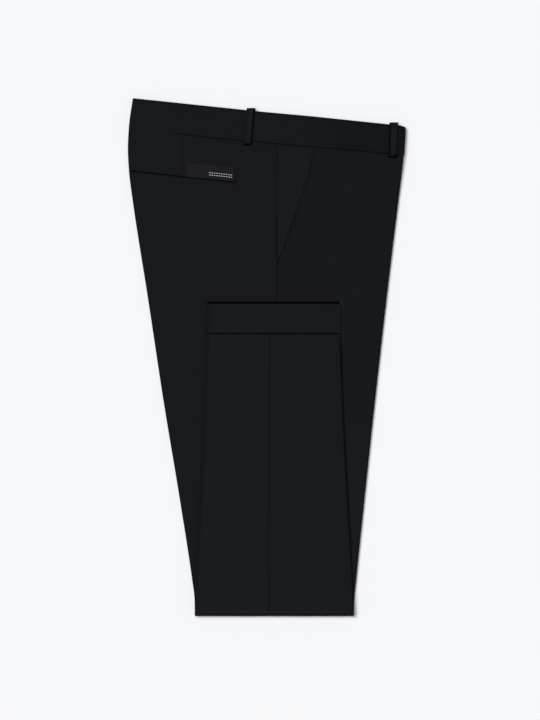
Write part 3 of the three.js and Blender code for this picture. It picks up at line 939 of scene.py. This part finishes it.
def edged(length, step):
    """Positions across a piece, close together at both edges for their rounding."""
    middle = spread(ROUNDED[-1], length - ROUNDED[-1], step)[1:-1]
    return ROUNDED + middle + [length - inset for inset in reversed(ROUNDED)]


def laid_piece(name, size, place, heights, depths, painted_edge_shade=()):
    """A flat piece on the right hip. depths are how far its ends, foot and head roll down."""
    (length, width), (low, high), (ends, foot, head) = size, heights, depths
    outer, inner = [], []
    for t in edged(width, LAID_STEP):
        spots = [(s, *place(s, t)) for s in edged(length, LAID_STEP)]
        outer.append([])
        for s, x, y in spots:
            rolled = max(roll(min(s, length - s), ends), roll(t, foot), roll(width - t, head))
            outer[-1].append(on_hip(x, y, high - rolled))
        inner.append([on_hip(x, y, low) for s, x, y in spots])
    return closed_shell(name, outer, inner, painted_edge_shade=painted_edge_shade)


def along_pocket(start, lift):
    """place() for a strip that starts at x = start and lies lift above the mouth."""

    def place(s, t):
        x = start - s
        return x, pocket_line(x) + lift + t

    return place


SLOT_MARGIN = 0.06
slot_size = (POCKET["length"] + 2 * SLOT_MARGIN, LOWER_JET + UPPER_JET)
slot_place = along_pocket(POCKET["end"] + SLOT_MARGIN, -LOWER_JET)
slot = laid_piece("pocket_slot", slot_size, slot_place, (-1.15, 2), (0, 0, 0))
right_back = panels[RIGHT, BACK]
select_only(right_back)
cut = right_back.modifiers.new("pocket_slot", "BOOLEAN")
cut.object = slot
cut.operation = "DIFFERENCE"
cut.solver = "EXACT"
bpy.ops.object.modifier_apply(modifier=cut.name)
bpy.ops.object.shade_smooth_by_angle(angle=radians(48))
bpy.data.objects.remove(slot)
for spot in right_back.data.attributes["painted_light_and_shade"].data:
    if spot.value < 0.01:  # the cut's own points have no painted light yet
        spot.value = PANEL_PAINTED_LIGHT[RIGHT, BACK]

JETS = [
    # name, width, how far above the mouth, rolls, the edge at the mouth, the other edge, area
    ("lower", LOWER_JET, SLOT_MARGIN - LOWER_JET, (0.05, 0.06, 0.75), "end", "start", 0.00098),
    ("upper", UPPER_JET, POCKET["mouth"] / 2, (0.05, 0.7, 0.06), "start", "end", 0.0007),
]
# Each strip has painted shade along its edge at the mouth, and a little along the slot.
for name, width, lift, rolls, at_mouth, at_slot, area in JETS:
    jet = laid_piece(
        name + "_jet_strip",
        (POCKET["length"], width - SLOT_MARGIN - POCKET["mouth"] / 2),
        along_pocket(POCKET["end"], lift),
        (-0.75, 0.06),
        rolls,
        painted_edge_shade=[(at_mouth, 0.95, 1.6), (at_slot, 0.12, 1.2)],
    )
    finish(jet, twill, "cloth", f"back_pocket_{name}_jet")
tack_y = pocket_line(POCKET["end"]) - 1
bar_tack("back_pocket_tack", POCKET["end"] + 0.2, tack_y, over_hip, 9, 1.8, pi / 2)

# The tab is woven satin with turned ends, sewn over the upper jet. It is left without any mark
# but two plain rows of running stitches in silver thread.

TAB = {"end": -55.6, "length": 62, "height": 18.5, "wall": 0.45}
SATIN_RIB = 0.8
satin = new_material("black_woven_satin")
satin_threads = node(
    satin,
    "TexWave",
    {"Scale": 2 * pi / (20 * SATIN_RIB), "Distortion": 1.2, "Detail": 2},
    on_cloth(satin),
    bands_direction="Y",
).outputs["Fac"]
satin_tone = between(satin, "#111216", "#151619", satin_threads)
satin_bump = node(
    satin, "Bump", {"Strength": 0.2, "Distance": 0.05 * MM}, {"Height": satin_threads}
)
shade(
    satin,
    {"Roughness": 0.55, "Specular IOR Level": 0.05},
    {"Base Color": satin_tone, "Normal": satin_bump.outputs[0]},
)

tab = laid_piece(
    "pocket_tab",
    (TAB["length"], TAB["height"]),
    along_pocket(TAB["end"], 0.5),
    (0.32, 0.32 + TAB["wall"]),
    (0.3, 0.3, 0.3),
)
finish(tab, satin, "label_satin", "label")

# Silver polyester thread, the one bright thing.
silver = thread_material("silver_polyester_thread", 2200, ("#98999c", "#d6d8db"), 0.4, 0.5)


def tab_spot(s, t):
    """A point on the tab's face: s from its outer end, t above its lower edge."""
    x = TAB["end"] - s
    y = pocket_line(x) + 0.5 + t
    return on_hip(x, y, 0.36 + TAB["wall"])


tab_angle = POCKET["slope"]
silver_spots = [(*tab_spot(3.4 + 3.1 * k, t), tab_angle) for t in (5.2, 8.2) for k in range(10)]
silver_rows = stitches("tab_silver_stitches", silver_spots, 2.3, 1.0, 0.45, silver)

ends = (TAB["length"] - 1.8, TAB["length"] - 6.2)
end_spots = [(*tab_spot(s, 1.6 + 2.2 * k), pi / 2 + tab_angle) for s in ends for k in range(8)]
end_rows = stitches("tab_end_stitches", end_spots, 1.5, 0.55, 0.4, thread)

# --- Waistband
# A double band of interfaced twill, cut curved, turned over at its upper edge and seamed to the
# panels. It goes round both creases and is tucked in at the seat and the fly.


def band_relief(x, y):
    low = smooth(1 - (y - band_seam(x)) / 16)
    return 0.14 * billow(x, y, 48, 2.2) + 0.1 * low * billow(x, y * 0.4, 8, 6.1) - 0.06 * low


def band_tone(x, y, z):
    """The band's colour, darker towards the fly."""
    return mix(0.96, 0.8, smooth((x - 40) / 50))


def waistband(name, leg):
    depth, wall = BAND["height"], BAND["wall"]
    profile = [(inset, roll(inset, 0.75), 0) for inset in ROUNDED]
    profile += [(d, 0, 0) for d in spread(2.4, depth - 1.6, 3)]
    for angle in (0, 20, 40, 58, 74, 84):
        inset = wall / 2 * (1 - cos(radians(angle)))
        profile.append((depth - wall / 2 * (1 - sin(radians(angle))), inset, inset))
    outer, inner = [], []
    for d, outer_inset, inner_inset in profile:
        station = upper_station(lambda x, d=d: mix(band_seam(x), band_edge(x), d / depth))
        radius = wall + GAP / 2
        ends = {}
        for side in (BACK, FRONT):
            crease = station.meet(lambda y: crease_at("upper", side, y)) + max(side, 0) * 0.7
            turn_x = crease - side * radius
            face = band_under(crease) if leg == LEFT else band_top(crease)
            middle = face + leg * radius
            rolled = outer_inset * (seam_open(turn_x) if d < 2 else 1)
            reaches = (radius - rolled, radius - wall + inner_inset)
            arc = round_crease(turn_x, middle, reaches, side, leg, BAND_TUCK[side])
            ends[side] = (turn_x, arc)
        flat = []
        count = 72
        for k in range(1, count):
            x = mix(ends[BACK][0], ends[FRONT][0], k / count)
            y = station.height(x)
            face = band_under(x) if leg == LEFT else band_top(x)
            if leg == RIGHT:
                face += band_relief(x, y) * smooth(min(k, count - k) / 4)
            rolled = outer_inset * (seam_open(x) if d < 2 else 1)
            flat.append(((x, face + leg * rolled), (x, face + leg * (wall - inner_inset))))
        row = ends[BACK][1][::-1] + flat + ends[FRONT][1]
        outer.append([station.place(*pair[0]) for pair in row])
        inner.append([station.place(*pair[1]) for pair in row])
    # Painted shade along the waist seam and the band's folded top edge.
    painted_edge_shade = [("start", waist_seam_painted_shade, 1.7), ("end", 0.85, 2.6)]
    return closed_shell(name, outer, inner, tone_and_painted_light=band_tone, painted_edge_shade=painted_edge_shade)


for name, leg, rests_on in (("right", RIGHT, "left_waistband_half"), ("left", LEFT, "table_top")):
    band = waistband(name + "_waistband_half", leg)
    finish(band, twill, "cloth", name + "_waistband")

# --- Belt loops
# Narrow straps of folded twill. Each is turned over the band's edge at the top, tacked just below
# its seam at the foot, and stands off the band between.

LOOP = {"width": 11, "wall": 1.3, "arch": 0.6, "foot": 8, "above": 3}
# How dark the painted shade is at a loop's foot and its two long edges, and how far it reaches.
SIDE_LOOP = {"x": -35.6, "lean": 0.095, "below": 5.2}
SIDE_LOOP |= {"foot edge": (0.8, 4.2), "back edge": (0.4, 3), "front edge": (0.9, 3.8)}
FRONT_LOOP = {"x": 151.3, "lean": 0.04, "below": 4.2}
FRONT_LOOP |= {"foot edge": (1, 5.3), "back edge": (0.95, 3.8), "front edge": (0.55, 2.4)}
LOOPS = {"side": SIDE_LOOP, "front": FRONT_LOOP}


def belt_loop(name, loop, under):
    centre = loop["x"]
    edge = band_edge(centre)
    bottom, top = band_seam(centre) - loop["below"], edge + LOOP["above"]
    middle = spread(bottom + 1.2, top - 1.4, 1.6)
    rows = [bottom + inset for inset in ROUNDED] + middle[1:-1]
    rows += [top - inset for inset in (1.4, 1.0, 0.6, 0.3, 0.1, 0)]
    outer, inner = [], []
    for y in rows:
        arch = smooth((y - bottom - LOOP["foot"]) / 5) * smooth((edge - LOOP["foot"] - y) / 5)
        hook = smooth((y - edge - 0.3) / 0.5)
        foot_roll = roll(y - bottom, 0.9)
        crown_roll = 1.5 * (1 - sqrt(1 - (1 - clamp((top - y) / 1.4)) ** 2)) * 0.9
        upper, lower = [], []
        for across in edged(LOOP["width"], 0.8):
            x = centre + loop["lean"] * (y - edge + BAND["height"] / 2)
            x += across - LOOP["width"] / 2
            side_roll = roll(min(across, LOOP["width"] - across), 0.85)
            rolled = min(1.15, hypot(side_roll, max(foot_roll, crown_roll)))
            if under:
                upper.append((x, y, 0.04 + 0.35 * rolled))
                lower.append((x, y, BAND["under"] - 0.25 - 0.1 * rolled + hook * 1.2))
            else:
                base = band_top(x) + band_relief(x, y) * 0.5 + LOOP["arch"] * arch
                upper.append((x, y, base + GAP + LOOP["wall"] - rolled))
                lower.append((x, y, base + GAP - hook * BAND["wall"] + 0.02))
        outer.append(upper)
        inner.append(lower)
    # Painted shade at the foot, at the hooked top and along the long edges.
    painted_edge_shade = [("start", *loop["foot edge"]), ("start", 0.8, 6.2), ("end", 0.8, 1.6)]
    painted_edge_shade += [("first", *loop["back edge"]), ("last", *loop["front edge"])]
    return closed_shell(name, outer, inner, tone_and_painted_light=1.12, painted_edge_shade=painted_edge_shade)


def over_loop(x, y):
    """Just over a loop's face, where its tacks lie."""
    return band_top(x) + GAP + LOOP["wall"] + 0.02


for leg_name, under in (("right", False), ("left", True)):
    for place_name, loop in LOOPS.items():
        name = f"{leg_name}_{place_name}_loop"
        strap = belt_loop(name + "_strap", loop, under)
        finish(strap, twill, "cloth", name)
        rests_on = "table_top" if under else "right_waistband_half"
for name, loop in LOOPS.items():
    for end_name, height in (("foot", 2.2 - loop["below"]), ("head", BAND["height"] - 3)):
        x = loop["x"] + loop["lean"] * (height - BAND["height"] / 2)
        y = band_seam(loop["x"]) + height
        bar_tack(f"{name}_loop_{end_name}_tack", x, y, over_loop, 8.4, 1.4, -loop["lean"])

# --- Turn-ups
# Each leg ends in a turn-up: a flat sleeve of three layers of twill, pressed and caught at the
# side seam. The left leg's lies on top, and the right leg's just under it.


CUFF_PRESSED = {BACK: 0.6, FRONT: 0.48}  # of its thickness, at its creases
HEM_ROLL = (2.8, 1.7)  # how far back and how deep the hem's folded edge rolls
HALF_TURN = [k / 10 * pi for k in range(11)]  # angles round a crease
HEM_PEEK = 1.3  # the lower leg's hem reaches this far out from under the upper one


def cuff_relief(x, y):
    seam = LOWER_LEG["seam"][-1]
    dip = -0.5 * bell((x - seam) / 0.7)
    allowance = 0.12 * bell((abs(x - seam) - 6) / 5)
    return dip + allowance + 0.16 * billow(x, y, 44, 7.3)


# The turn-up's painted lightness, with the painted light and shade by the folded leg's edges.
def cuff_painted_light(x, y, z):
    return 1.05 * beside_fold(x, y)


def turn_up(name, leg):
    thick = 2 * CUFF["wall"] + CUFF["slit"]
    height = CUFF["height"]
    profile = [(inset, roll(inset, 1.0)) for inset in ROUNDED]
    profile += [(d, 0) for d in spread(2.4, height - 3.4, 3)]
    for angle in (0, 15, 30, 45, 60, 75, 90):
        turned = radians(angle)
        profile.append((height - HEM_ROLL[0] * (1 - sin(turned)), HEM_ROLL[1] * (1 - cos(turned))))
    peek = HEM_PEEK if leg == RIGHT else 0
    outer, inner = [], []
    for d, inset in profile:
        y = HEM - height + d + peek * smooth(d / height)
        foot = read(LOWER_STACK, "base", y) - CUFF["proud"]
        turns = {side: crease_at("lower", side, y) + side * CUFF["wider"] for side in (BACK, FRONT)}

        def pressed(x):
            """Half the thickness, which is pressed thinner towards the creases."""
            inside, side = min((x - turns[BACK], BACK), (turns[FRONT] - x, FRONT))
            return thick / 2 * mix(CUFF_PRESSED[side], 1, smooth(inside / 34))

        def middle(x):
            return foot + pressed(x) * (3 if leg == LEFT else 1) + (GAP if leg == LEFT else 0)

        def ring(share, slit, relief):
            """One loop of points, at a share of the thickness or along the slit inside."""

            def reach(x):
                return slit or share * pressed(x)

            ends = {}
            for side in (BACK, FRONT):
                turn_x = turns[side] - side * pressed(turns[side])
                radius = reach(turns[side])
                out, up = turn_x, middle(turns[side])
                turned = [(side * radius * sin(a), side * radius * cos(a)) for a in HALF_TURN]
                ends[side] = [(out + across, y, up + over) for across, over in turned]
            seam = LOWER_LEG["seam"][-1]
            start, end = ends[BACK][-1][0], ends[FRONT][0][0]
            xs = spread(start, seam - 3, 4)[1:]
            xs += [seam + near for near in (-1.6, -0.9, -0.4, 0, 0.4, 0.9, 1.6)]
            xs += spread(seam + 3, end, 4)[:-1]
            top = [(x, y, middle(x) + reach(x) + relief * cuff_relief(x, y)) for x in xs]
            under = [(x, y, middle(x) - reach(x)) for x in reversed(xs)]
            return ends[BACK] + top + ends[FRONT] + under

        on_top = 1 if leg == LEFT else 0
        outer.append(ring(1 - inset / (thick / 2), 0, on_top))
        inner.append(ring(0, CUFF["slit"] / 2, 0))
    # Painted shade along the turn-up's lower edge and, darkest, along the hem's folded edge.
    painted_edge_shade = [("start", 0.9, 1.5), ("end", 1, 3.2 if leg == LEFT else 6)]
    return closed_shell(name, outer, inner, ring=True, tone_and_painted_light=cuff_painted_light, painted_edge_shade=painted_edge_shade)


for name, leg, rests_on in (("right", RIGHT, "right_back_panel"), ("left", LEFT, "right_turn_up")):
    cuff = turn_up(name + "_turn_up", leg)
    finish(cuff, twill, "cloth", name + "_cuff")

# --- Hidden layers
# Between the outer panels lie the inner halves of both legs, the tucked seat and fly and the
# pocket bags. Only their layered edges show, at the creases and in the open waist.

CORE_INSET = 9
hidden_rows = []
for station in stations(7, 2, waist_gap=0.6):
    back, front = (
        station.meet(lambda y: crease_at(station.leg_run, side, y)) - side * CORE_INSET
        for side in (BACK, FRONT)
    )
    columns = [back, back + 0.6, back + 1.4, back + 14]
    columns += [mix(back + 30, front - 30, k / 14) for k in range(15)]
    columns += [front - 14, front - 1.4, front - 0.6, front]
    near = [face_depth(LEFT, station, x) + 1.5 for x in columns]
    far = [face_depth(RIGHT, station, x) - 1.9 for x in columns]
    middles = [(a + b) / 2 for a, b in zip(near, far)]
    last = len(columns) - 1
    tucks = [{0: 0.5, 1: 0.16, 2: 0.04}.get(min(k, last - k), 0) for k in range(last + 1)]
    faces = []
    for depths, slit in ((near, -0.08), (far, 0.08)):
        face = [(x, mix(d, m, t)) for x, d, m, t in zip(columns, depths, middles, tucks)]
        # Between the layers' edges there is a notch.
        face = [(back + 3, middles[0] + slit), *face, (front - 3, middles[-1] + slit)]
        faces.append([station.place(*pair) for pair in face])
    hidden_rows.append(faces)
hidden = closed_shell("inner_layers", *zip(*hidden_rows))
finish(hidden, twill, "cloth", "hidden_layers")
